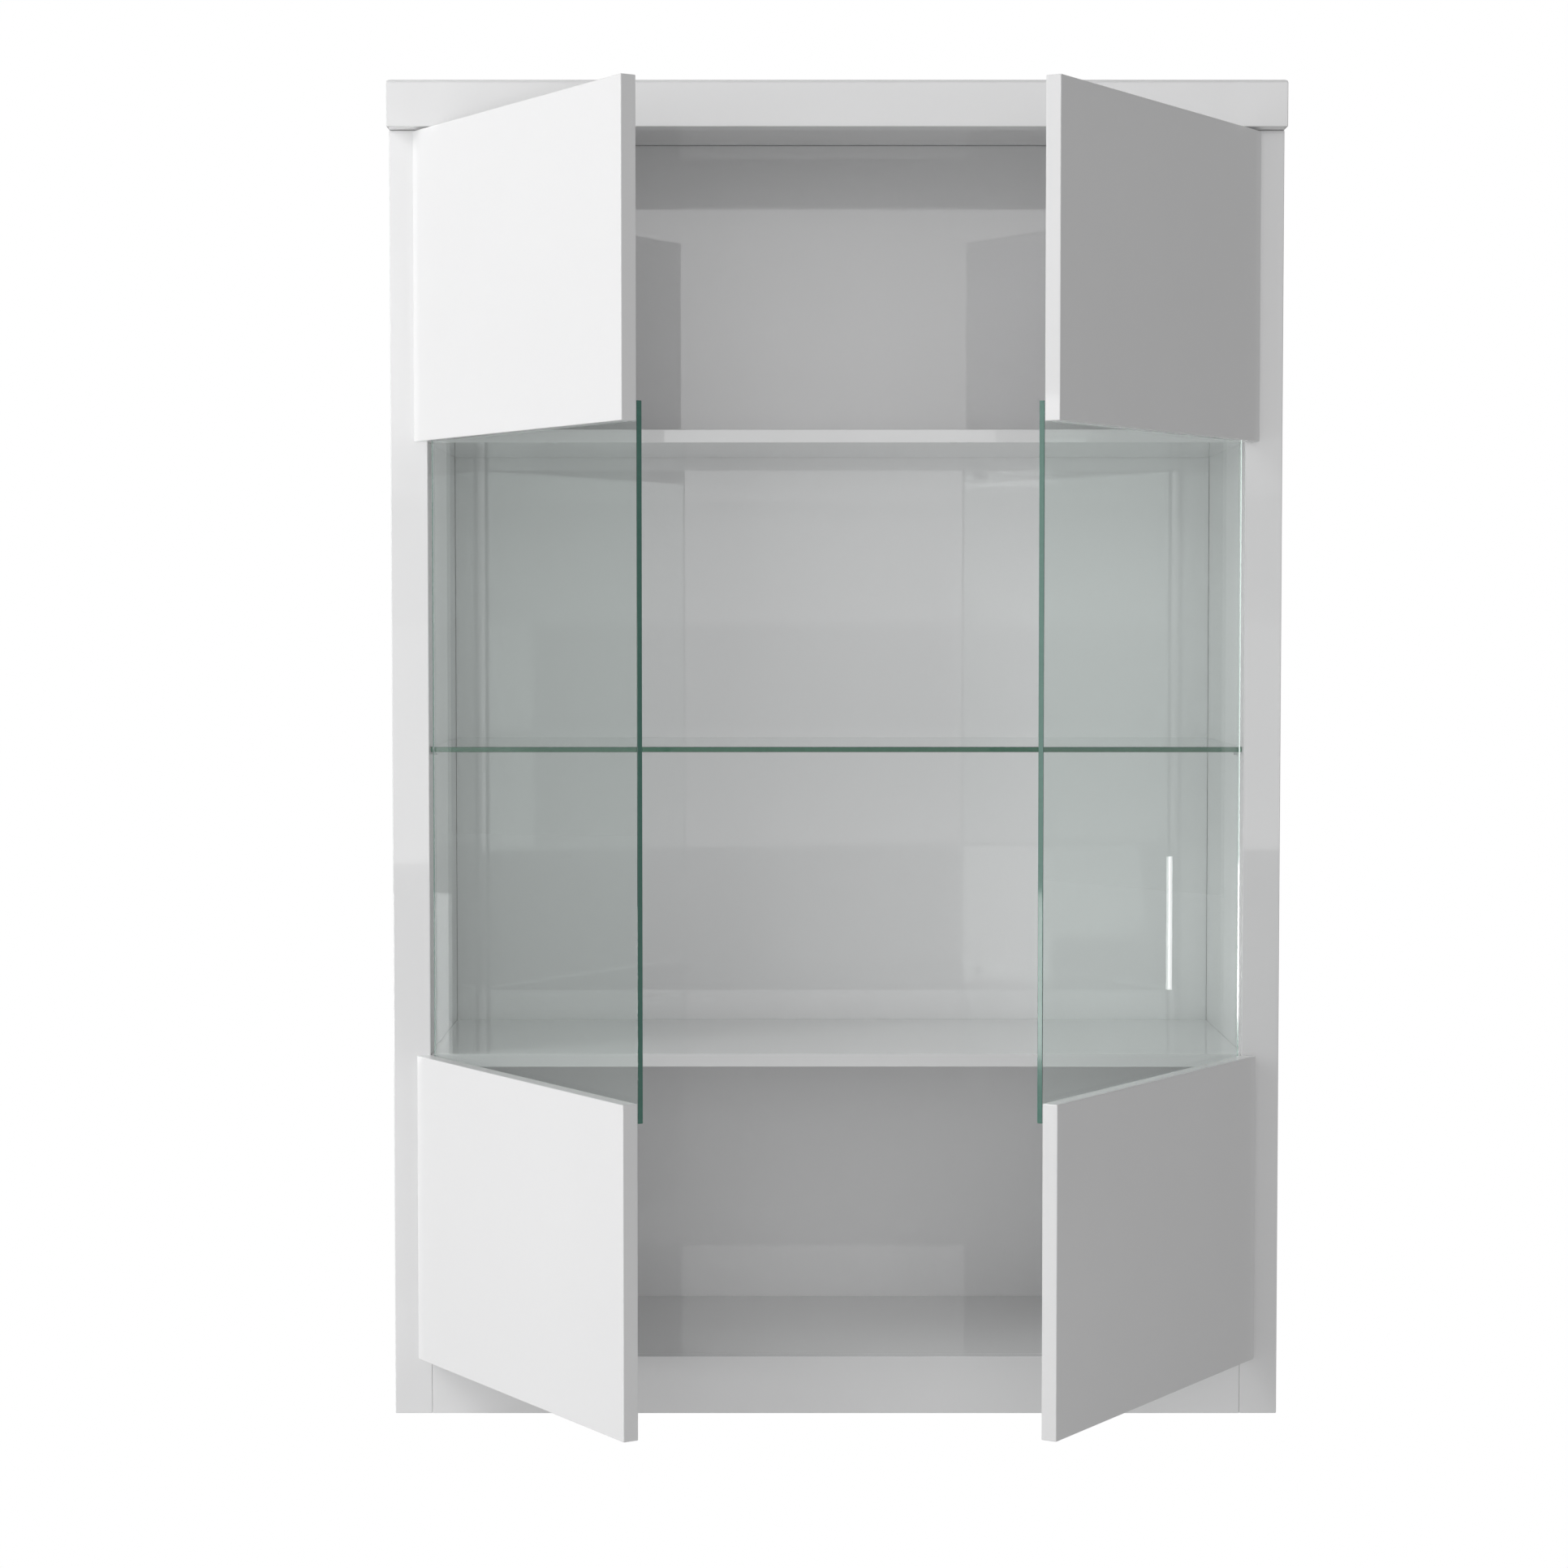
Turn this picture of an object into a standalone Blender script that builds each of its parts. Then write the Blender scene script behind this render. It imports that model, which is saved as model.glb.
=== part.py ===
"""A two-door display cabinet: a thick cap on two thick sides, two wooden shelves, a glass shelf, and
two doors that each hold a clear pane between an upper and a lower panel.

X runs along the width, the doors face -Y, and the floor is z = 0 under the middle of the carcass.
At rest both doors stand open. Lengths here are millimetres.
"""

import math

import bmesh
import bpy
from mathutils import Vector

MM = 0.001

# Carcass.
WIDTH = 1100.0
HEIGHT = 1648.0
BODY_DEPTH = 400.0
CAP_THICKNESS = 57.0
CAP_BOARD = 22.0
CAP_OVERHANG = 30.0
SIDE_THICKNESS = 46.0
BACK_THICKNESS = 16.0
BOARD = 16.0
PLINTH_HEIGHT = 71.5
PLINTH_THICKNESS = 18.0
SHELF_SETBACK = 8.0
LOWER_SHELF_TOP = 450.0
UPPER_SHELF_BOTTOM = 1209.0

# Doors.
DOOR_PANEL = 19.0
PANE = 6.5
PANE_LAP = 22.5
PANE_INSET = 9.0
MEETING_GAP = 3.0
DOOR_BOTTOM = 71.0
DOOR_TOP_GAP = 3.0
LEFT_OPEN = 57.7
RIGHT_OPEN = 57.1

# Concealed hinges, each turning about an upright pin.
PIN_TO_FRONT = 18.0
PIN_TO_OUTER_FACE = 10.0
PIN_TO_EDGE = 14.5
PIN_RADIUS = 1.5
PIN_BORE = 1.58
CUP_RADIUS = 17.5
CUP_WALL = 1.0
CUP_DEPTH = 13.0
CUP_EDGE_WALL = 4.0
ARM_HALF_HEIGHT = 7.0
ARM_THICKNESS = 1.8
ARM_SWEEP_RADIUS = 17.6
ARM_START = 8.0
HINGE_TO_OUTER_END = 75.0
HINGE_TO_PANE_END = 90.0

# Fit and finish.
GAP = 0.3
LACQUER_EDGE = 1.0
CAP_TOP_EDGE = 4.0
GLASS_EDGE = 0.6
ROUND = 32

# Places worked out from the sizes above.
FRONT = -BODY_DEPTH / 2
BACK = BODY_DEPTH / 2
INNER_X = WIDTH / 2 - SIDE_THICKNESS
BOARD_X = INNER_X - GAP
BACK_PANEL_FRONT = BACK - BACK_THICKNESS
CAP_BOTTOM = HEIGHT - CAP_THICKNESS
CEILING = HEIGHT - CAP_BOARD
DOOR_TOP = CAP_BOTTOM - DOOR_TOP_GAP
GLASS_SHELF_MIDDLE = (LOWER_SHELF_TOP + UPPER_SHELF_BOTTOM) / 2
DOOR_REACH = INNER_X - MEETING_GAP / 2
INNER_FACE = DOOR_PANEL - PIN_TO_OUTER_FACE
PANE_FRONT = INNER_FACE + GAP
CUP_CENTRE = CUP_EDGE_WALL + CUP_RADIUS - PIN_TO_EDGE
SIDES = {"left": -1, "right": 1}
OPEN_ANGLE = {"left": LEFT_OPEN, "right": RIGHT_OPEN}

# Hinge levels: two on each door panel, clear of the shelves and of the pane's lap.
LOWER_PANEL = (DOOR_BOTTOM, LOWER_SHELF_TOP)
UPPER_PANEL = (UPPER_SHELF_BOTTOM, DOOR_TOP)
HINGE_LEVELS = (
    LOWER_PANEL[0] + HINGE_TO_OUTER_END,
    LOWER_PANEL[1] - HINGE_TO_PANE_END,
    UPPER_PANEL[0] + HINGE_TO_PANE_END,
    UPPER_PANEL[1] - HINGE_TO_OUTER_END,
)


def clear_scene():
    for obj in list(bpy.data.objects):
        bpy.data.objects.remove(obj, do_unlink=True)


def make_material(name, colour, roughness, metallic=0.0, alpha=1.0):
    material = bpy.data.materials.new(name)
    material.use_nodes = True
    shader = material.node_tree.nodes["Principled BSDF"]
    shader.inputs["Base Color"].default_value = (*colour, 1.0)
    shader.inputs["Roughness"].default_value = roughness
    shader.inputs["Metallic"].default_value = metallic
    shader.inputs["Alpha"].default_value = alpha
    return material


FINISH = {}


def make_finishes():
    FINISH["lacquer"] = ((0.86, 0.86, 0.87), 0.08, 0.0, 1.0)
    FINISH["glass"] = ((0.72, 0.86, 0.80), 0.02, 0.0, 0.35)
    FINISH["steel"] = ((0.62, 0.63, 0.65), 0.28, 1.0, 1.0)


def finish(obj, kind):
    """Gives the object a material of its own, named after it."""
    colour, roughness, metallic, alpha = FINISH[kind]
    obj.data.materials.clear()
    obj.data.materials.append(make_material(obj.name, colour, roughness, metallic, alpha))


def add_object(name, shape, location=(0.0, 0.0, 0.0), parent=None):
    """Turns a bmesh in millimetres into an object, placed in millimetres."""
    bmesh.ops.scale(shape, vec=(MM, MM, MM), verts=shape.verts)
    bmesh.ops.recalc_face_normals(shape, faces=shape.faces)
    mesh = bpy.data.meshes.new(name)
    shape.to_mesh(mesh)
    shape.free()
    obj = bpy.data.objects.new(name, mesh)
    bpy.context.scene.collection.objects.link(obj)
    obj.location = Vector(location) * MM
    obj.parent = parent
    return obj


def box_shape(low, high):
    shape = bmesh.new()
    bmesh.ops.create_cube(shape, size=1.0)
    low = Vector(low)
    high = Vector(high)
    for vert in shape.verts:
        vert.co = [middle + side * size for middle, side, size in zip((low + high) / 2, vert.co, high - low)]
    return shape


def hull_shape(points):
    shape = bmesh.new()
    for point in points:
        shape.verts.new(point)
    bmesh.ops.convex_hull(shape, input=shape.verts)
    return shape


def prism_shape(outline, low, high):
    """An outline of (x, y) points, drawn up from one level to another."""
    shape = bmesh.new()
    base = [shape.verts.new((x, y, low)) for x, y in outline]
    face = shape.faces.new(base)
    made = bmesh.ops.extrude_face_region(shape, geom=[face])["geom"]
    for item in made:
        if isinstance(item, bmesh.types.BMVert):
            item.co.z = high
    return shape


def ring(radius, start=0.0, end=360.0, steps=ROUND):
    """Points round a circle or an arc; a full circle leaves out the repeated last point."""
    count = steps if end - start >= 360.0 else steps + 1
    angles = [math.radians(start + (end - start) * i / steps) for i in range(count)]
    return [(radius * math.cos(angle), radius * math.sin(angle)) for angle in angles]


def rod_shape(centre, radius, axis, low, high):
    """A round rod along one of the three axes, between two levels on that axis."""
    across = [i for i in range(3) if i != "xyz".index(axis)]
    along = "xyz".index(axis)
    points = []
    for level in (low, high):
        for a, b in ring(radius):
            point = [0.0, 0.0, 0.0]
            point[across[0]] = centre[0] + a
            point[across[1]] = centre[1] + b
            point[along] = level
            points.append(point)
    return hull_shape(points)


def turned_shape(profile, centre):
    """A closed profile of (radius, y) points turned about an axis along Y."""
    shape = bmesh.new()
    rings = []
    for radius, y in profile:
        if radius == 0.0:
            rings.append([shape.verts.new((centre[0], y, centre[1]))] * ROUND)
            continue
        rings.append([shape.verts.new((centre[0] + a, y, centre[1] + b)) for a, b in ring(radius)])
    for first, second in zip(rings, rings[1:]):
        for i in range(ROUND):
            corners = [first[i], first[i - 1], second[i - 1], second[i]]
            shape.faces.new(list(dict.fromkeys(corners)))
    return shape


def round_edges(obj, width, segments=2, top_width=None):
    """Rounds every edge; a wider round can be asked for along the top."""
    modifier = obj.modifiers.new("edges", "BEVEL")
    modifier.segments = segments
    modifier.width = (top_width or width) * MM
    modifier.limit_method = "ANGLE"
    modifier.harden_normals = False
    if top_width is None:
        return
    modifier.limit_method = "WEIGHT"
    top = max(vert.co.z for vert in obj.data.vertices)
    weights = obj.data.attributes.new("bevel_weight_edge", "FLOAT", "EDGE")
    for edge, weight in zip(obj.data.edges, weights.data):
        on_top = all(obj.data.vertices[i].co.z > top - MM for i in edge.vertices)
        weight.value = 1.0 if on_top else width / top_width


def combine(obj, shape, operation):
    """Adds a shape to the object, or cuts it away, in the object's own frame."""
    helper = add_object(f"{obj.name}_{operation.lower()}", shape)
    helper.parent = obj
    helper.hide_render = True
    helper.display_type = "WIRE"
    modifier = obj.modifiers.new(operation.lower(), "BOOLEAN")
    modifier.operation = operation
    modifier.solver = "EXACT"
    modifier.object = helper


def slab(name, low, high, kind, edge, top_edge=None, parent=None):
    obj = add_object(name, box_shape(low, high), parent=parent)
    round_edges(obj, edge, segments=4 if top_edge else 2, top_width=top_edge)
    finish(obj, kind)
    return obj


def smooth(obj, angle=35.0):
    """Smooth shading with sharp edges kept."""
    obj.data.polygons.foreach_set("use_smooth", [True] * len(obj.data.polygons))
    obj.data.set_sharp_from_angle(angle=math.radians(angle))


def build_cap():
    """The cap: a board with a deep rim at the front and the sides, so that its underside is recessed."""
    cap = slab(
        "top_panel",
        (-WIDTH / 2, FRONT - CAP_OVERHANG, CAP_BOTTOM),
        (WIDTH / 2, BACK, HEIGHT),
        "lacquer",
        LACQUER_EDGE,
        top_edge=CAP_TOP_EDGE,
    )
    recess = box_shape((-INNER_X, FRONT, CAP_BOTTOM - 1.0), (INNER_X, BACK + 1.0, CEILING))
    combine(cap, recess, "DIFFERENCE")


def build_carcass():
    build_cap()
    slab(
        "back_panel",
        (-BOARD_X, BACK_PANEL_FRONT, 0.0),
        (BOARD_X, BACK, CEILING - GAP),
        "lacquer",
        LACQUER_EDGE / 2,
    )
    slab(
        "bottom_panel",
        (-BOARD_X, FRONT + PLINTH_THICKNESS + GAP, PLINTH_HEIGHT - BOARD),
        (BOARD_X, BACK_PANEL_FRONT - GAP, PLINTH_HEIGHT),
        "lacquer",
        LACQUER_EDGE / 4,
    )
    slab(
        "front_plinth",
        (-BOARD_X, FRONT, 0.0),
        (BOARD_X, FRONT + PLINTH_THICKNESS, PLINTH_HEIGHT),
        "lacquer",
        LACQUER_EDGE / 2,
    )
    slab(
        "bottom_support",
        (-BOARD / 2, FRONT + PLINTH_THICKNESS + GAP, 0.0),
        (BOARD / 2, BACK_PANEL_FRONT - GAP, PLINTH_HEIGHT - BOARD - GAP),
        "lacquer",
        LACQUER_EDGE / 2,
    )
    for name, top in (("lower_shelf", LOWER_SHELF_TOP), ("upper_shelf", UPPER_SHELF_BOTTOM + BOARD)):
        slab(
            name,
            (-BOARD_X, FRONT + SHELF_SETBACK, top - BOARD),
            (BOARD_X, BACK_PANEL_FRONT - GAP, top),
            "lacquer",
            LACQUER_EDGE / 2,
        )


SHELF_PIN_RADIUS = 2.5
SHELF_PIN_REACH = 8.0
GLASS_SHELF_SIDE_GAP = 1.0
GLASS_SHELF_BACK_GAP = 4.0
SHELF_PIN_SPOTS = {"front": FRONT + 60.0, "back": BACK_PANEL_FRONT - 60.0}


def build_sides_and_glass_shelf():
    """The two sides, the glass shelf between them and the four pins that it rests on."""
    shelf_bottom = GLASS_SHELF_MIDDLE - PANE / 2
    pin_level = shelf_bottom - GAP - SHELF_PIN_RADIUS
    slab(
        "glass_shelf",
        (GLASS_SHELF_SIDE_GAP - INNER_X, FRONT + SHELF_SETBACK, shelf_bottom),
        (INNER_X - GLASS_SHELF_SIDE_GAP, BACK_PANEL_FRONT - GLASS_SHELF_BACK_GAP, shelf_bottom + PANE),
        "glass",
        GLASS_EDGE,
    )
    for side, sign in SIDES.items():
        x_span = sorted((sign * INNER_X, sign * WIDTH / 2))
        panel = slab(
            f"{side}_side_panel",
            (x_span[0], FRONT, 0.0),
            (x_span[1], BACK, CAP_BOTTOM - GAP),
            "lacquer",
            LACQUER_EDGE,
        )
        for spot, y in SHELF_PIN_SPOTS.items():
            deep, out = sign * (INNER_X + SHELF_PIN_REACH), sign * (INNER_X - SHELF_PIN_REACH)
            pin = add_object(
                f"{side}_shelf_pin_{spot}",
                rod_shape((y, pin_level), SHELF_PIN_RADIUS, "x", min(deep, out), max(deep, out)),
            )
            finish(pin, "steel")
            smooth(pin)
            hole_end = sign * (INNER_X + SHELF_PIN_REACH + GAP)
            mouth = sign * (INNER_X - 1.0)
            hole = rod_shape((y, pin_level), SHELF_PIN_RADIUS + GAP, "x", min(hole_end, mouth), max(hole_end, mouth))
            combine(panel, hole, "DIFFERENCE")


SCREW_RADIUS = 2.5
SCREW_HEAD_RADIUS = 6.5
SCREW_HEAD = 2.4
SCREW_DEPTH = 10.0
SCREW_SPOTS = {"hinge": 40.0, "free": DOOR_REACH - 42.0}


def inward(sign, u):
    """Distances along a door count from its pin towards the cabinet's middle."""
    return -sign * u


def span(sign, low, high):
    return sorted((inward(sign, low), inward(sign, high)))


def build_door(side, sign):
    """One door: two panels and a pane that laps both from behind, held by four screws."""
    axis = bpy.data.objects.new(f"{side}_hinge_axis", None)
    bpy.context.scene.collection.objects.link(axis)
    axis.location = Vector((sign * INNER_X, FRONT - PIN_TO_FRONT, 0.0)) * MM
    axis.rotation_euler.z = math.radians(sign * OPEN_ANGLE[side])

    low_x, high_x = span(sign, -PIN_TO_EDGE, DOOR_REACH)
    panels = {}
    for place, (low_z, high_z) in (("lower", LOWER_PANEL), ("upper", UPPER_PANEL)):
        panels[place] = slab(
            f"{side}_door_{place}_panel",
            (low_x, -PIN_TO_OUTER_FACE, low_z),
            (high_x, INNER_FACE, high_z),
            "lacquer",
            LACQUER_EDGE,
            parent=axis,
        )
    for index, level in enumerate(HINGE_LEVELS):
        place = "lower" if index < 2 else "upper"
        bore = rod_shape(
            (inward(sign, CUP_CENTRE), level),
            CUP_RADIUS + GAP,
            "y",
            INNER_FACE - CUP_DEPTH - GAP,
            INNER_FACE + 1.0,
        )
        combine(panels[place], bore, "DIFFERENCE")
        build_cup(f"{side}_hinge_{index + 1}", sign, level, axis)

    low_x, high_x = span(sign, PANE_INSET - PIN_TO_EDGE, DOOR_REACH)
    pane = slab(
        f"{side}_door_glass",
        (low_x, PANE_FRONT, LOWER_PANEL[1] - PANE_LAP),
        (high_x, PANE_FRONT + PANE, UPPER_PANEL[0] + PANE_LAP),
        "glass",
        GLASS_EDGE,
        parent=axis,
    )
    laps = {"lower": LOWER_PANEL[1] - PANE_LAP / 2, "upper": UPPER_PANEL[0] + PANE_LAP / 2}
    for place, level in laps.items():
        for spot, u in SCREW_SPOTS.items():
            centre = (inward(sign, u), level)
            hole = rod_shape(centre, SCREW_RADIUS + GAP, "y", PANE_FRONT - 1.0, PANE_FRONT + PANE + 1.0)
            combine(pane, hole, "DIFFERENCE")
            pilot = rod_shape(
                centre, SCREW_RADIUS + GAP, "y", INNER_FACE - SCREW_DEPTH - GAP, INNER_FACE + 1.0
            )
            combine(panels[place], pilot, "DIFFERENCE")
            build_pane_screw(f"{side}_pane_screw_{place}_{spot}", centre, axis)


def build_pane_screw(name, centre, axis):
    """A screw with a low round head and a cross-shaped driver recess left to the finish."""
    head_back = PANE_FRONT + PANE + GAP
    profile = [
        (0.0, INNER_FACE - SCREW_DEPTH),
        (SCREW_RADIUS * 0.5, INNER_FACE - SCREW_DEPTH),
        (SCREW_RADIUS, INNER_FACE - SCREW_DEPTH + 2.0),
        (SCREW_RADIUS, head_back),
        (SCREW_HEAD_RADIUS, head_back),
        (SCREW_HEAD_RADIUS, head_back + SCREW_HEAD * 0.4),
        (SCREW_HEAD_RADIUS * 0.8, head_back + SCREW_HEAD),
        (0.0, head_back + SCREW_HEAD),
    ]
    screw = add_object(name, turned_shape(profile, centre), parent=axis)
    finish(screw, "steel")
    smooth(screw)


FLANGE = 1.2
FLANGE_RADIUS = 19.0
EAR_RADIUS = 5.5
EAR_SPREAD = 24.0
EAR_SHIFT = 9.5
CHEEK = 3.0
CHEEK_HALF_WIDTH = 3.6
CHEEK_HEIGHT = 3.3


def build_cup(name, sign, level, axis):
    """The steel cup let into the door's back, with two cheeks that hold the pin."""
    floor = INNER_FACE - CUP_DEPTH
    flange_low = INNER_FACE + GAP
    flange_high = flange_low + FLANGE
    centre = (inward(sign, CUP_CENTRE), 0.0)
    inner_radius = CUP_RADIUS - CUP_WALL
    cup = add_object(
        f"{name}_cup",
        turned_shape(
            [
                (0.0, floor),
                (CUP_RADIUS, floor),
                (CUP_RADIUS, flange_low),
                (FLANGE_RADIUS, flange_low),
                (FLANGE_RADIUS, flange_high),
                (inner_radius, flange_high),
                (inner_radius, floor + CUP_WALL),
                (0.0, floor + CUP_WALL),
            ],
            centre,
        ),
        location=(0.0, 0.0, level),
        parent=axis,
    )
    ear_x = inward(sign, CUP_CENTRE + EAR_SHIFT)
    root_x = inward(sign, CUP_CENTRE + EAR_SHIFT * 0.9)
    for end in (-1, 1):
        ear = []
        for y in (flange_low, flange_high):
            ear += [(ear_x + a, y, end * EAR_SPREAD + b) for a, b in ring(EAR_RADIUS)]
            ear += [(root_x + a, y, end * CUP_RADIUS * 0.92) for a in (-EAR_RADIUS, EAR_RADIUS)]
        combine(cup, hull_shape(ear), "UNION")
        cheek_z = sorted((end * (ARM_HALF_HEIGHT + 2 * GAP), end * (ARM_HALF_HEIGHT + 2 * GAP + CHEEK)))
        cheek = box_shape(
            (-CHEEK_HALF_WIDTH, floor + CUP_WALL / 2, cheek_z[0]),
            (CHEEK_HALF_WIDTH, CHEEK_HEIGHT, cheek_z[1]),
        )
        combine(cup, cheek, "UNION")
    reach = ARM_HALF_HEIGHT + 2 * GAP + CHEEK
    combine(cup, rod_shape((0.0, 0.0), PIN_BORE, "z", -reach - 1.0, reach + 1.0), "DIFFERENCE")
    finish(cup, "steel")
    smooth(cup)

    pin = add_object(
        f"{name}_pin",
        rod_shape((0.0, 0.0), PIN_RADIUS, "z", -reach, reach),
        location=(0.0, 0.0, level),
        parent=axis,
    )
    finish(pin, "steel")
    smooth(pin)


EYE_RADIUS = 2.7
ARM_TO_SIDE = 0.5
ARM_STEP = 24.0
ARM_BLOCK = (4.2, 12.0)
ARM_END = 72.0
PLATE_SPAN = (30.0, 78.0)
PLATE_TOP = ARM_BLOCK[0] - GAP
PLATE_WING = 2.0
WING_SPREAD = 16.0
WING_RADIUS = 7.0


def arm_outline():
    """The arm seen from above, from the pin's eye round the door's edge and along the side.

    It leaves the pin inside the cup, bends round the door's inner edge at a constant distance from
    the pin, runs past the side's front corner and steps up over its mounting plate.
    """
    half = ARM_THICKNESS / 2
    start = math.radians(ARM_START)
    along = Vector((math.cos(start), math.sin(start)))
    across = Vector((-along.y, along.x))
    inner, outer = ARM_SWEEP_RADIUS, ARM_SWEEP_RADIUS + ARM_THICKNESS
    near, far = ARM_TO_SIDE, ARM_TO_SIDE + ARM_THICKNESS

    outer_end = math.degrees(math.acos(far / outer))
    inner_start = ARM_START + math.degrees(math.asin(half / inner))
    inner_end = math.degrees(math.acos(near / inner))
    eye_gap = math.degrees(math.asin(half / EYE_RADIUS))

    points = [tuple(along * outer - across * half)]
    points += ring(outer, ARM_START, outer_end, 14)
    points += [(far, ARM_STEP - 3.0), (ARM_BLOCK[1], ARM_STEP + 5.0), (ARM_BLOCK[1], ARM_END - 2.0)]
    points += [(ARM_BLOCK[1] - 2.0, ARM_END), (ARM_BLOCK[0], ARM_END)]
    points += [(ARM_BLOCK[0], ARM_STEP + 4.0), (near, ARM_STEP)]
    points += list(reversed(ring(inner, inner_start, inner_end, 14)))
    points += ring(EYE_RADIUS, ARM_START + eye_gap, ARM_START + 360.0 - eye_gap - 0.01, 18)
    return points


def build_fixed_hinge_parts(side, sign):
    """The arm and the mounting plate of each hinge, both fixed to the cabinet's side."""
    outline = [(inward(sign, u), v) for u, v in arm_outline()]
    for index, level in enumerate(HINGE_LEVELS):
        name = f"{side}_hinge_{index + 1}"
        place = (sign * INNER_X, FRONT - PIN_TO_FRONT, level)
        arm = add_object(
            f"{name}_arm", prism_shape(outline, -ARM_HALF_HEIGHT, ARM_HALF_HEIGHT), location=place
        )
        bore = rod_shape((0.0, 0.0), PIN_BORE, "z", -ARM_HALF_HEIGHT - 1.0, ARM_HALF_HEIGHT + 1.0)
        combine(arm, bore, "DIFFERENCE")
        finish(arm, "steel")
        smooth(arm)

        rail_x = span(sign, GAP, PLATE_TOP)
        plate = add_object(
            f"{name}_plate",
            box_shape(
                (rail_x[0], PLATE_SPAN[0], -ARM_HALF_HEIGHT + 1.0),
                (rail_x[1], PLATE_SPAN[1], ARM_HALF_HEIGHT - 1.0),
            ),
            location=place,
        )
        middle = sum(PLATE_SPAN) / 2
        wing = []
        for u in (GAP, GAP + PLATE_WING):
            for end in (-1, 1):
                wing += [(inward(sign, u), middle + a, end * WING_SPREAD + b) for a, b in ring(WING_RADIUS)]
        combine(plate, hull_shape(wing), "UNION")
        finish(plate, "steel")


def build():
    clear_scene()
    make_finishes()
    build_carcass()
    build_sides_and_glass_shelf()
    for side, sign in SIDES.items():
        build_door(side, sign)
        build_fixed_hinge_parts(side, sign)


build()
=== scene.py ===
"""Studio picture of the display cabinet: finishes, small hardware, light and camera.

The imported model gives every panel, pane and hinge. This script gives them their looks, adds the small
fittings that are too fine for the model, and sets the studio. Lengths are metres.
"""

import math

import bmesh
import bpy
from mathutils import Matrix, Vector


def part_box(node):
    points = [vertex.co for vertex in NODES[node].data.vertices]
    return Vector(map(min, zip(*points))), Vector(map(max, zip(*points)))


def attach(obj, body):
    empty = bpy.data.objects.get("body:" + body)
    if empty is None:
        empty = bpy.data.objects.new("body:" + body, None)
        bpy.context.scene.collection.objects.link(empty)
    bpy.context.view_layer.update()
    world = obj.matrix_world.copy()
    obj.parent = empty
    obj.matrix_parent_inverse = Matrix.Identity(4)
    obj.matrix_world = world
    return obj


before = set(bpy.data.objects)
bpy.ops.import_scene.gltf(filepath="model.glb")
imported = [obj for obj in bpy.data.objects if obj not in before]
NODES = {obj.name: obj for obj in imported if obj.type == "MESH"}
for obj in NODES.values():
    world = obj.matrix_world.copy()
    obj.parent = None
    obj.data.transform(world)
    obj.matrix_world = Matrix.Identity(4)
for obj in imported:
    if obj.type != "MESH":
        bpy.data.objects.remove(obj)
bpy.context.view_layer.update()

SIDES = ("left", "right")
HINGES = range(1, 5)
INWARD = {"left": Vector((1.0, 0.0, 0.0)), "right": Vector((-1.0, 0.0, 0.0))}
DEEPER = Vector((0.0, 1.0, 0.0))
UPWARD = Vector((0.0, 0.0, 1.0))

# Finishes
NOISE_SHIFT = 0.13
LACQUER_WHITE = 0.92
LACQUER_SPREAD = 0.005
LACQUER_COOLNESS = 1.004
LACQUER_ROUGHNESS = (0.012, 0.032)
LACQUER_INDEX = 1.5
GLASS_FACE = (0.940, 0.994, 0.974)
SHELF_EDGE = (0.05, 0.18, 0.11)
# Painted light: the panes' edges are a lighter green than the shelf's edge, standing in for the light
# they catch from the left
PANE_EDGE_AND_PAINTED_LIGHT = (0.12, 0.30, 0.24)
GLASS_EDGE_ROUGHNESS = 0.05
GLASS_EDGE_CLARITY = 0.35
GLASS_SHADOW = (0.915, 0.925, 0.922)
GLASS_INDEX = 1.5
STEEL_TONE = 0.62
SCREW_TONE = 0.66
STEEL_ROUGHNESS = (0.2, 0.34)
SLEEVE_MILKY = (0.82, 0.84, 0.84)
SLEEVE_BRIGHT = (0.9, 0.91, 0.91)
SLEEVE_ROUGHNESS = (0.25, 0.4)
SLEEVE_INDEX = 1.43

# Small fittings: the radius and height of each kind of screw head, the hinge arms' covers, and the
# (radius, height) points of the shelf pins' collars and sleeves
TURN_STEPS = 28
CUP_SCREW = (0.0034, 0.0014)
PLATE_SCREW = (0.0038, 0.0014)
ARM_SCREW = (0.0028, 0.0011)
PANE_SCREW = (0.0056, 0.0012)
BACK_SCREW = (0.0036, 0.0012)
ARM_COVER_LENGTH = 0.038
ARM_COVER_WIDTH = 0.0112
ARM_COVER_THICK = 0.0008
ARM_COVER_CORNER = 0.0012
COLLAR_PROFILE = [(0.0, 0.0), (0.0045, 0.0), (0.0045, 0.0004), (0.0041, 0.0007), (0.0, 0.0007)]
SLEEVE_PROFILE = [(0.0, 0.0), (0.0025, 0.0), (0.00275, 0.0004)]
SLEEVE_PROFILE += [(0.00275, 0.0046), (0.0025, 0.005), (0.0, 0.005)]
SLEEVE_START = 0.0015

# Where the small fittings sit on a hinge, measured from its pin
CUP_SCREW_ALONG = 0.0165
CUP_SCREW_THROUGH = 0.0105
CUP_SCREW_RISE = 0.024
PLATE_FACE = 0.0023
PLATE_SCREW_DEPTH = 0.054
PLATE_SCREW_RISE = 0.016
ARM_FACE = 0.012
ARM_COVER_DEPTH = 0.050
ARM_SCREW_DEPTHS = {"front": 0.039, "back": 0.061}

# Where the back panel's screws sit
BACK_SCREW_INSET = 0.012
BACK_SCREW_COLUMNS = 5
BACK_SCREW_ROWS = 7

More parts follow.
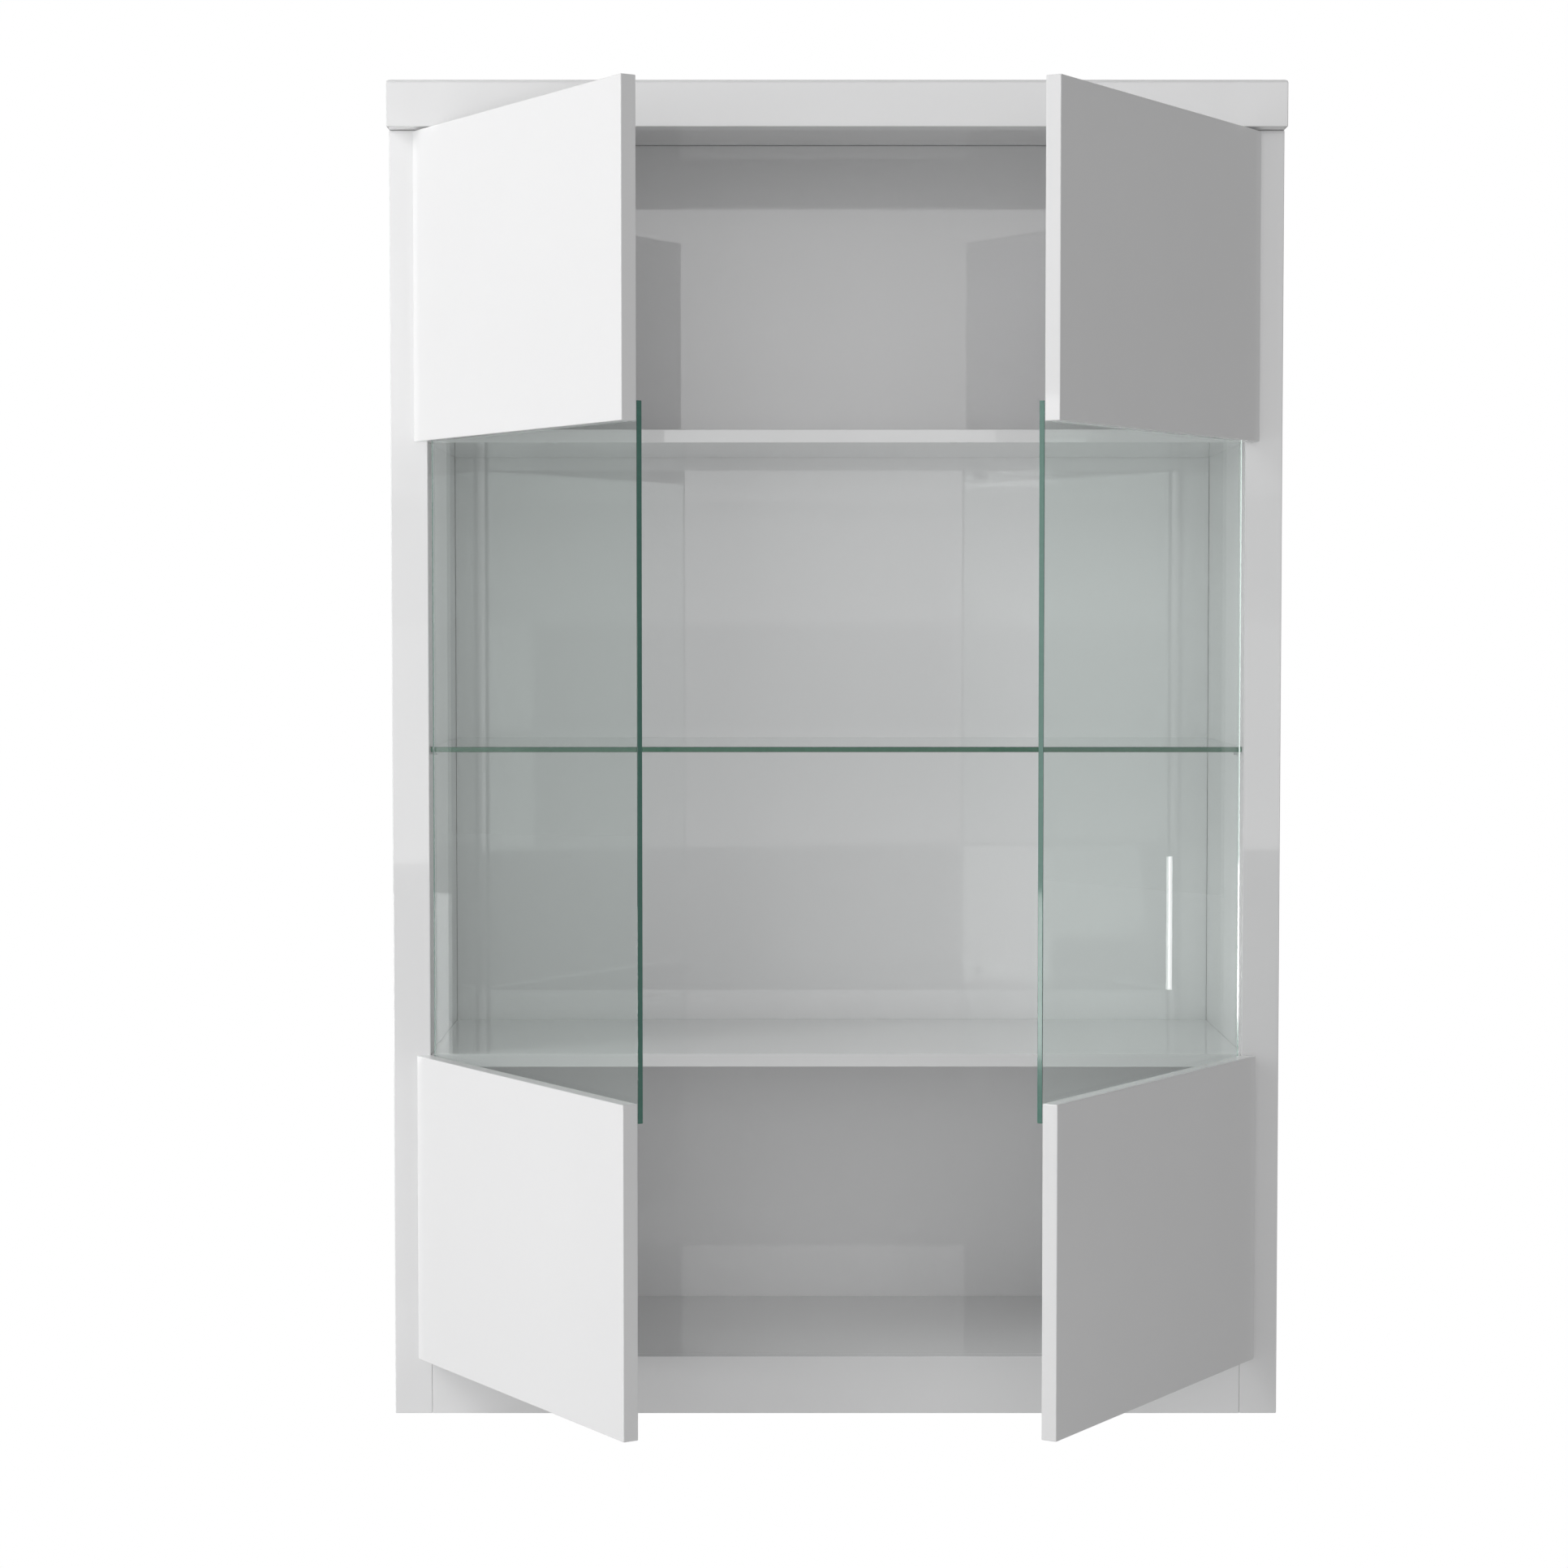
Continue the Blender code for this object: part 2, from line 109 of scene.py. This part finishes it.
# Studio
CAMERA_PLACE = (-0.0648, -4.4074, 0.9806)
CAMERA_DOWN = math.radians(2.634)
CAMERA_LENS = 78.05
CAMERA_SENSOR = 36.0
CAMERA_REACH = 60.0
FLOOR_HALF_WIDTH = 12.0
FLOOR_HALF_DEPTH = 8.0
FLOOR_FORWARD = 2.0
FLOOR_PIVOT_Y = -0.2
FLOOR_WHITE_LOW = (0.49, 0.49, 0.49)
FLOOR_WHITE_HIGH = (0.51, 0.51, 0.51)
FLOOR_ROUGHNESS = 0.7
FLOOR_TURN = math.radians(-13.8)
ROOM_GLOW = 0.265
FLOOR_GLOW = 0.15
PURE_WHITE = (1.0, 1.0, 1.0, 1.0)
MIDDLE = (0.0, -0.2, 0.85)

# Lights near the cabinet: centre, the point that each faces, width, height and glow. The high ones light
# it from the left. The cards are there to be mirrored: the bright one by the right door, as the back
# panel shows it, and the others by the right pane's free edge. The strip is the right pane's streak.
SOFTBOXES = {
    "left_high_side": ((-3.4, -1.1, 3.4), MIDDLE, 2.4, 1.6, 3.9),
    "left_high_front": ((-2.9, -2.2, 3.4), MIDDLE, 2.0, 1.6, 1.3),
    "left_bright_card": ((-4.26, -2.235, 1.8), (0.3, -0.45, 1.45), 0.34, 0.8, 30.0),
    "left_tall_card": ((-3.3, -2.55, 0.95), (0.23, -0.64, 0.95), 1.0, 1.12, 2.0),
    "left_low_card": ((-3.4, -2.2, 0.19), (0.3, -0.4, 0.3), 1.3, 0.38, 8.0),
    "right_strip": ((2.97, 1.16, 0.37), (0.4, -0.365, 0.63), 0.008, 0.275, 3.4),
}

# Windows far in front, side by side and one above another: left, right, bottom, top and glow
WINDOW_Y = -12.0
WINDOW_BOTTOM = -0.8
WINDOW_SPLIT = 1.0
WINDOW_CENTRE = 1.6
WINDOW_HIGH = 4.2
WINDOW_TOP = 8.2
WINDOWS = {
    "front_top": (-4.0, 4.0, WINDOW_HIGH, WINDOW_TOP, 0.5),
    "front_high": (-2.5, 2.5, WINDOW_CENTRE, WINDOW_HIGH, 2.25),
    "front_middle": (-2.5, 2.5, WINDOW_SPLIT, WINDOW_CENTRE, 1.7),
    "front_low_left": (-6.8, -1.3, WINDOW_BOTTOM, WINDOW_SPLIT, 2.1),
    "front_low": (-1.3, 1.95, WINDOW_BOTTOM, WINDOW_SPLIT, 1.2),
    "front_low_right": (1.95, 5.4, WINDOW_BOTTOM, WINDOW_SPLIT, 2.2),
}


# ---------------------------------------------------------------------------------------------
# Materials
# ---------------------------------------------------------------------------------------------


class Graph:
    """A material's node tree, with short ways to add and join nodes."""

    def __init__(self, name):
        self.material = bpy.data.materials.new(name)
        self.material.use_nodes = True
        self.tree = self.material.node_tree
        self.shader = self.tree.nodes["Principled BSDF"]
        self.output = self.tree.nodes["Material Output"]
        self.coordinates = self.add("ShaderNodeTexCoord")
        self.place = self.coordinates.outputs["Object"]

    def add(self, kind, **settings):
        node = self.tree.nodes.new(kind)
        for key, value in settings.items():
            if hasattr(node, key):
                setattr(node, key, value)
            else:
                node.inputs[key.replace("_", " ")].default_value = value
        return node

    def join(self, source, target):
        self.tree.links.new(source, target)

    def stretch(self, scale):
        """Object coordinates, stretched by a different amount along each axis."""
        mapping = self.add("ShaderNodeMapping")
        mapping.inputs["Scale"].default_value = scale
        self.join(self.place, mapping.inputs["Vector"])
        return mapping.outputs["Vector"]

    def noise(self, scale, detail=2.0, vector=None):
        node = self.add("ShaderNodeTexNoise", Scale=scale, Detail=detail)
        self.join(vector or self.place, node.inputs["Vector"])
        return node.outputs["Fac"]

    def spread(self, value, low, high, start=0.3, end=0.7):
        """Maps a value from start to end onto the range from low to high."""
        node = self.add("ShaderNodeMapRange")
        node.inputs["From Min"].default_value = start
        node.inputs["From Max"].default_value = end
        node.inputs["To Min"].default_value = low
        node.inputs["To Max"].default_value = high
        self.join(value, node.inputs["Value"])
        return node.outputs["Result"]

    def blend(self, factor, first, second):
        """Mixes two colours, each of them a tuple or another node's output."""
        node = self.add("ShaderNodeMix", data_type="RGBA")
        colour_inputs = [socket for socket in node.inputs if socket.type == "RGBA"]
        self.join(factor, node.inputs["Factor"])
        for socket, colour in zip(colour_inputs, (first, second)):
            if isinstance(colour, tuple):
                socket.default_value = (*colour, 1.0)
            else:
                self.join(colour, socket)
        return [socket for socket in node.outputs if socket.type == "RGBA"][0]

    def bump(self, height, strength, distance):
        node = self.add("ShaderNodeBump", Strength=strength, Distance=distance)
        self.join(height, node.inputs["Height"])
        return node.outputs["Normal"]

    def let_light_through(self, colour):
        """Lets shadow and diffuse rays straight through, tinted, so that what is behind stays lit."""
        path = self.add("ShaderNodeLightPath")
        clear = self.add("ShaderNodeBsdfTransparent")
        clear.inputs["Color"].default_value = (*colour, 1.0)
        surface = self.shader.outputs[0]
        for ray in ("Is Shadow Ray", "Is Diffuse Ray"):
            mix = self.add("ShaderNodeMixShader")
            self.join(path.outputs[ray], mix.inputs[0])
            self.join(surface, mix.inputs[1])
            self.join(clear.outputs[0], mix.inputs[2])
            surface = mix.outputs[0]
        self.join(surface, self.output.inputs["Surface"])


def lacquer(name, shift):
    """High-gloss white lacquer: an almost even white, with a mirror-smooth surface."""
    g = Graph(name)
    cloud = g.spread(g.noise(2.3 + shift, detail=3.0), 0.0, 1.0)
    low = LACQUER_WHITE - LACQUER_SPREAD
    high = LACQUER_WHITE + LACQUER_SPREAD
    darker = (low, low, low * LACQUER_COOLNESS)
    lighter = (high, high, high * LACQUER_COOLNESS)
    colour = g.blend(cloud, darker, lighter)
    g.join(colour, g.shader.inputs["Base Color"])
    gloss = g.spread(g.noise(31.0 + shift, detail=4.0), *LACQUER_ROUGHNESS)
    g.join(gloss, g.shader.inputs["Roughness"])
    g.join(g.bump(g.noise(5.0 + shift, detail=1.0), 0.03, 0.0003), g.shader.inputs["Normal"])
    g.shader.inputs["IOR"].default_value = LACQUER_INDEX
    return g.material


def tinted(colour, amount):
    """The same colour, a little lighter or darker."""
    return tuple(part * amount for part in colour)


def clear_glass(name, across, edge_colour, shift):
    """Float glass. Its two faces are clear, and its ground edges have a deeper green, given as
    edge_colour. On the panes that green is made lighter as painted light, standing in for the light
    their edges catch from the left.

    across is the direction from one face to the other, in the glass's own frame. It tells the faces from
    the edges.
    """
    g = Graph(name)
    facing = g.add("ShaderNodeVectorMath", operation="DOT_PRODUCT")
    facing.inputs[1].default_value = across
    g.join(g.coordinates.outputs["Normal"], facing.inputs[0])
    size = g.add("ShaderNodeMath", operation="ABSOLUTE")
    g.join(facing.outputs["Value"], size.inputs[0])
    edge = g.spread(size.outputs[0], 1.0, 0.0, start=0.35, end=0.65)
    grain = g.spread(g.noise(160.0 + shift, detail=3.0), 0.0, 1.0)
    clear = g.blend(grain, tinted(GLASS_FACE, 0.998), tinted(GLASS_FACE, 1.002))
    deep = g.blend(grain, tinted(edge_colour, 0.95), tinted(edge_colour, 1.05))
    g.join(g.blend(edge, clear, deep), g.shader.inputs["Base Color"])
    clarity = g.spread(edge, 1.0, GLASS_EDGE_CLARITY, start=0.0, end=1.0)
    g.join(clarity, g.shader.inputs["Transmission Weight"])
    roughness = g.spread(edge, 0.0, GLASS_EDGE_ROUGHNESS, start=0.0, end=1.0)
    g.join(roughness, g.shader.inputs["Roughness"])
    g.shader.inputs["IOR"].default_value = GLASS_INDEX
    g.join(g.bump(g.noise(3.0 + shift, detail=1.0), 0.01, 0.0001), g.shader.inputs["Normal"])
    g.let_light_through(GLASS_SHADOW)
    return g.material


def soft_clear(name):
    """Soft, slightly milky clear plastic."""
    g = Graph(name)
    cloud = g.spread(g.noise(700.0, detail=3.0), 0.0, 1.0)
    g.join(g.blend(cloud, SLEEVE_MILKY, SLEEVE_BRIGHT), g.shader.inputs["Base Color"])
    g.join(g.spread(g.noise(240.0), *SLEEVE_ROUGHNESS), g.shader.inputs["Roughness"])
    g.join(g.bump(cloud, 0.1, 0.0001), g.shader.inputs["Normal"])
    g.shader.inputs["Transmission Weight"].default_value = 0.5
    g.shader.inputs["IOR"].default_value = SLEEVE_INDEX
    return g.material


def plated_steel(name, tone):
    """Nickel-plated steel with fine drawn lines and a little cloudiness."""
    g = Graph(name)
    cloud = g.spread(g.noise(60.0, detail=4.0), 0.0, 1.0)
    grey = (tone, tone, tone * 1.02)
    g.join(g.blend(cloud, grey, tinted(grey, 1.1)), g.shader.inputs["Base Color"])
    g.shader.inputs["Metallic"].default_value = 1.0
    lines = g.noise(900.0, detail=2.0, vector=g.stretch((1.0, 0.06, 1.0)))
    g.join(g.spread(lines, *STEEL_ROUGHNESS), g.shader.inputs["Roughness"])
    g.join(g.bump(lines, 0.08, 0.0002), g.shader.inputs["Normal"])
    return g.material


def dress(node, material):
    """Puts one material on every slot of a CAD node."""
    obj = NODES[node]
    if not obj.material_slots:
        obj.data.materials.append(material)
    for place in obj.material_slots:
        place.material = material


def across_pane(side):
    """The direction square to a door's pane, as the door stands at rest."""
    largest = max(NODES[f"{side}_door_glass"].data.polygons, key=lambda polygon: polygon.area)
    return tuple(largest.normal)


def dress_all():
    """Gives every CAD node its finish. Each panel and pane has noise of a slightly different scale."""
    steel = plated_steel("plated_steel", STEEL_TONE)
    shift = 0.0
    for node in sorted(NODES):
        shift += NOISE_SHIFT
        if node == "glass_shelf":
            dress(node, clear_glass("shelf_glass", UPWARD, SHELF_EDGE, shift))
        elif node.endswith("door_glass"):
            side = node.split("_")[0]
            # The panes' edge colour carries painted light: a lighter green for the light their edges
            # catch from the left
            dress(node, clear_glass(f"{side}_pane_glass", across_pane(side), PANE_EDGE_AND_PAINTED_LIGHT, shift))
        elif "hinge" in node or "screw" in node or "pin" in node:
            dress(node, steel)
        else:
            dress(node, lacquer(f"{node}_lacquer", shift))


# ---------------------------------------------------------------------------------------------
# Small hardware
# ---------------------------------------------------------------------------------------------


def turned(profile):
    """A closed mesh of revolution about Z. Its (radius, height) points start and end on the axis."""
    build = bmesh.new()
    turns = [math.tau * step / TURN_STEPS for step in range(TURN_STEPS)]
    rings = []
    for radius, height in profile:
        if radius == 0.0:
            rings.append([build.verts.new((0.0, 0.0, height))])
        else:
            points = [(radius * math.cos(a), radius * math.sin(a), height) for a in turns]
            rings.append([build.verts.new(point) for point in points])
    for low, high in zip(rings, rings[1:]):
        for step in range(TURN_STEPS):
            pairs = [(low, step), (low, step + 1), (high, step + 1), (high, step)]
            corners = [ring[at % len(ring)] for ring, at in pairs]
            build.faces.new(list(dict.fromkeys(corners)))
    bmesh.ops.recalc_face_normals(build, faces=build.faces)
    for face in build.faces:
        face.smooth = True
    mesh = bpy.data.meshes.new("turned")
    build.to_mesh(mesh)
    build.free()
    return mesh


def cross_mesh(reach, width, low, high):
    """Two crossed bars, used to cut a screw's recess."""
    build = bmesh.new()
    for half_x, half_y in ((reach, width), (width, reach)):
        bar = bmesh.ops.create_cube(build, size=1.0)["verts"]
        bmesh.ops.scale(build, vec=(2 * half_x, 2 * half_y, high - low), verts=bar)
        bmesh.ops.translate(build, vec=(0.0, 0.0, (low + high) / 2), verts=bar)
    mesh = bpy.data.meshes.new("cross")
    build.to_mesh(mesh)
    build.free()
    return mesh


def screw_head(radius, height):
    """A domed screw head with a cross recess, standing on Z = 0."""
    dome = [(0.0, 0.0), (radius, 0.0), (radius, 0.35 * height), (0.9 * radius, 0.62 * height)]
    dome += [(0.7 * radius, 0.84 * height), (0.4 * radius, 0.96 * height), (0.0, height)]
    head = bpy.data.objects.new("head", turned(dome))
    recess = cross_mesh(0.58 * radius, 0.13 * radius, 0.4 * height, 2 * height)
    bars = bpy.data.objects.new("bars", recess)
    for part in (head, bars):
        bpy.context.scene.collection.objects.link(part)
    cut = head.modifiers.new("recess", "BOOLEAN")
    cut.operation = "DIFFERENCE"
    cut.solver = "EXACT"
    cut.use_self = True
    cut.object = bars
    graph = bpy.context.evaluated_depsgraph_get()
    mesh = bpy.data.meshes.new_from_object(head.evaluated_get(graph))
    for part in (head, bars):
        bpy.data.objects.remove(part)
    return mesh


def cover_plate(length, width, thickness, corner):
    """A thin plate with rounded corners, long in X, standing on Z = 0."""
    build = bmesh.new()
    bmesh.ops.create_cube(build, size=1.0)
    bmesh.ops.scale(build, vec=(length, width, thickness), verts=build.verts)
    bmesh.ops.translate(build, vec=(0.0, 0.0, thickness / 2), verts=build.verts)
    upright = [e for e in build.edges if abs(e.verts[0].co.z - e.verts[1].co.z) > thickness / 2]
    bmesh.ops.bevel(build, geom=upright, offset=corner, segments=4, affect="EDGES", profile=0.5)
    rim = [e for e in build.edges if min(v.co.z for v in e.verts) > thickness * 0.9]
    rim = [e for e in rim if len(e.link_faces) == 2]
    rim = [e for e in rim if any(abs(f.normal.z) < 0.5 for f in e.link_faces)]
    bmesh.ops.bevel(build, geom=rim, offset=thickness * 0.4, segments=2, affect="EDGES", profile=0.5)
    mesh = bpy.data.meshes.new("cover")
    build.to_mesh(mesh)
    build.free()
    return mesh


def place(name, mesh, material, where, outward, body, slot_node, along=UPWARD):
    """Sets a mesh on a surface: its own Z points outward, and its X along the given direction."""
    up = outward.normalized()
    across = up.cross(along).normalized()
    along_surface = across.cross(up)
    piece = bpy.data.objects.new(name, mesh)
    if not mesh.materials:
        mesh.materials.append(material)
    bpy.context.scene.collection.objects.link(piece)
    turn = Matrix((along_surface, across, up)).transposed().to_4x4()
    piece.matrix_world = Matrix.Translation(where) @ turn
    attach(piece, body)


class DoorFrame:
    """A door's own directions at rest: along it to its free edge, and through it to its back."""

    def __init__(self, side):
        self.through = Vector(across_pane(side))
        pane = middle(f"{side}_door_glass")
        panel = middle(f"{side}_door_lower_panel")
        if (pane - panel).dot(self.through) < 0:
            self.through.negate()
        turn = 1.0 if side == "left" else -1.0
        self.along = turn * Vector((self.through.y, -self.through.x, 0.0))


def middle(node):
    low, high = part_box(node)
    return (low + high) / 2


def add_hinge_details(side, steel):
    """Cross-head screws of the cups and plates, and the small cover and two screws of each arm."""
    door = DoorFrame(side)
    inward = INWARD[side]
    cup_screw = screw_head(*CUP_SCREW)
    plate_screw = screw_head(*PLATE_SCREW)
    arm_screw = screw_head(*ARM_SCREW)
    cover = cover_plate(ARM_COVER_LENGTH, ARM_COVER_WIDTH, ARM_COVER_THICK, ARM_COVER_CORNER)
    for number in HINGES:
        name = f"{side}_hinge_{number}"
        pin = middle(f"{name}_pin")
        for end, label in ((-1, "lower"), (1, "upper")):
            ear = pin + door.along * CUP_SCREW_ALONG + door.through * CUP_SCREW_THROUGH
            ear += UPWARD * CUP_SCREW_RISE * end
            screw = f"{name}_cup_screw_{label}"
            place(screw, cup_screw, steel, ear, door.through, f"{side}_door", f"{name}_cup")
            wing = pin + inward * PLATE_FACE + DEEPER * PLATE_SCREW_DEPTH
            wing += UPWARD * PLATE_SCREW_RISE * end
            screw = f"{name}_plate_screw_{label}"
            place(screw, plate_screw, steel, wing, inward, "cabinet", f"{name}_plate")
        top = pin + inward * ARM_FACE + DEEPER * ARM_COVER_DEPTH
        arm = f"{name}_arm"
        place(f"{arm}_cover", cover, steel, top, inward, "cabinet", arm, along=DEEPER)
        for label, depth in ARM_SCREW_DEPTHS.items():
            spot = pin + inward * (ARM_FACE + ARM_COVER_THICK) + DEEPER * depth
            place(f"{arm}_screw_{label}", arm_screw, steel, spot, inward, "cabinet", arm)


def add_pane_screw_caps(side, steel):
    """The domed, cross-recessed top of each screw that holds a pane to its door panels."""
    door = DoorFrame(side)
    cap = screw_head(*PANE_SCREW)
    for level in ("lower", "upper"):
        for end in ("hinge", "free"):
            node = f"{side}_pane_screw_{level}_{end}"
            corners = NODES[node].data.vertices
            reach = max(v.co.dot(door.through) for v in corners)
            centre = middle(node)
            top = centre + door.through * (reach - centre.dot(door.through))
            place(f"{node}_cap", cap, steel, top, door.through, f"{side}_door", node)


def add_shelf_pin_sleeves(side, sleeve_finish, steel):
    """A collar at the cabinet's side and a soft sleeve under the glass shelf, on every shelf pin."""
    inward = INWARD[side]
    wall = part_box(f"{side}_side_panel")[1 if side == "left" else 0].x
    collar = turned(COLLAR_PROFILE)
    sleeve = turned(SLEEVE_PROFILE)
    for end in ("front", "back"):
        node = f"{side}_shelf_pin_{end}"
        centre = middle(node)
        root = Vector((wall, centre.y, centre.z))
        place(f"{node}_collar", collar, steel, root, inward, "cabinet", node)
        start = root + inward * SLEEVE_START
        place(f"{node}_sleeve", sleeve, sleeve_finish, start, inward, "cabinet", node)


def evenly(start, end, count):
    """Evenly spaced places from start to end, both included."""
    return [start + (end - start) * step / (count - 1) for step in range(count)]


def add_back_screws(steel):
    """The screws that hold the back panel, in a line just inside each of its edges."""
    low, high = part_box("back_panel")
    head = screw_head(*BACK_SCREW)
    columns = evenly(low.x + BACK_SCREW_INSET, high.x - BACK_SCREW_INSET, BACK_SCREW_COLUMNS)
    rows = evenly(low.z + BACK_SCREW_INSET, high.z - BACK_SCREW_INSET, BACK_SCREW_ROWS)
    sides = (columns[0], columns[-1])
    ends = (rows[0], rows[-1])
    spots = [(x, z) for x in columns for z in rows if x in sides or z in ends]
    for number, (x, z) in enumerate(spots, 1):
        spot = Vector((x, high.y, z))
        place(f"back_screw_{number:02d}", head, steel, spot, DEEPER, "cabinet", "back_panel")


def add_hardware():
    steel = plated_steel("screw_steel", SCREW_TONE)
    sleeve = soft_clear("sleeve_clear")
    for side in SIDES:
        add_hinge_details(side, steel)
        add_pane_screw_caps(side, steel)
        add_shelf_pin_sleeves(side, sleeve, steel)
    add_back_screws(steel)


# ---------------------------------------------------------------------------------------------
# Studio
# ---------------------------------------------------------------------------------------------


def add_camera():
    data = bpy.data.cameras.new("camera")
    data.sensor_width = CAMERA_SENSOR
    data.lens = CAMERA_LENS
    data.clip_end = CAMERA_REACH
    camera = bpy.data.objects.new("camera", data)
    bpy.context.scene.collection.objects.link(camera)
    camera.location = CAMERA_PLACE
    camera.rotation_euler.x = math.radians(90.0) - CAMERA_DOWN
    bpy.context.scene.camera = camera


def add_softbox(name, centre, target, width, height, glow):
    """A soft rectangular light. Its glow is its brightness as seen from in front, where 1 is white."""
    data = bpy.data.lights.new(name, "AREA")
    data.shape = "RECTANGLE"
    data.size = width
    data.size_y = height
    data.energy = glow * math.pi * width * height
    light = bpy.data.objects.new(name, data)
    bpy.context.scene.collection.objects.link(light)
    light.location = centre
    light.rotation_euler = (Vector(target) - Vector(centre)).to_track_quat("-Z", "Y").to_euler()


def add_window(name, left, right, bottom, top, glow):
    """A wide upright light far in front of the cabinet, facing straight back at it."""
    x = (left + right) / 2
    height = (bottom + top) / 2
    add_softbox(name, (x, WINDOW_Y, height), (x, 0.0, height), right - left, top - bottom, glow)


def add_world():
    """An even, dim light all round. Only the camera's own view has plain white behind the cabinet."""
    world = bpy.data.worlds.new("studio")
    bpy.context.scene.world = world
    world.use_nodes = True
    tree = world.node_tree
    tree.nodes.clear()
    output = tree.nodes.new("ShaderNodeOutputWorld")
    mix = tree.nodes.new("ShaderNodeMixShader")
    path = tree.nodes.new("ShaderNodeLightPath")
    room = tree.nodes.new("ShaderNodeBackground")
    room.inputs["Strength"].default_value = ROOM_GLOW
    seen = tree.nodes.new("ShaderNodeBackground")
    seen.inputs["Strength"].default_value = 1.0
    for background in (room, seen):
        background.inputs["Color"].default_value = PURE_WHITE
    tree.links.new(path.outputs["Is Camera Ray"], mix.inputs[0])
    tree.links.new(room.outputs[0], mix.inputs[1])
    tree.links.new(seen.outputs[0], mix.inputs[2])
    tree.links.new(mix.outputs[0], output.inputs["Surface"])


def add_floor():
    """A pale floor that the camera sees as plain white. It lies a little askew of the cabinet."""
    mesh = bpy.data.meshes.new("floor")
    build = bmesh.new()
    bmesh.ops.create_grid(build, x_segments=8, y_segments=8, size=1.0)
    bmesh.ops.scale(build, vec=(FLOOR_HALF_WIDTH, FLOOR_HALF_DEPTH, 1.0), verts=build.verts)
    bmesh.ops.translate(build, vec=(0.0, -FLOOR_FORWARD, 0.0), verts=build.verts)
    build.to_mesh(mesh)
    build.free()
    floor = bpy.data.objects.new("floor", mesh)
    floor.rotation_euler.z = FLOOR_TURN
    floor.location.y = FLOOR_PIVOT_Y
    bpy.context.scene.collection.objects.link(floor)
    g = Graph("floor_white")
    paper = g.spread(g.noise(1.2, detail=4.0), 0.0, 1.0)
    g.join(g.blend(paper, FLOOR_WHITE_LOW, FLOOR_WHITE_HIGH), g.shader.inputs["Base Color"])
    g.shader.inputs["Roughness"].default_value = FLOOR_ROUGHNESS
    g.shader.inputs["Emission Color"].default_value = PURE_WHITE
    g.shader.inputs["Emission Strength"].default_value = FLOOR_GLOW
    glow = g.add("ShaderNodeEmission")
    glow.inputs["Color"].default_value = PURE_WHITE
    path = g.add("ShaderNodeLightPath")
    mix = g.add("ShaderNodeMixShader")
    g.join(path.outputs["Is Camera Ray"], mix.inputs[0])
    g.join(g.shader.outputs[0], mix.inputs[1])
    g.join(glow.outputs[0], mix.inputs[2])
    g.join(mix.outputs[0], g.output.inputs["Surface"])
    mesh.materials.append(g.material)


def add_lights():
    for name, settings in SOFTBOXES.items():
        add_softbox(name, *settings)
    for name, settings in WINDOWS.items():
        add_window(name, *settings)


def add_studio():
    add_world()
    add_floor()
    add_lights()
    scene = bpy.context.scene
    scene.view_settings.view_transform = "Standard"
    scene.view_settings.look = "None"
    scene.view_settings.exposure = 0.0
    scene.view_settings.gamma = 1.0


add_camera()
dress_all()
add_hardware()
add_studio()
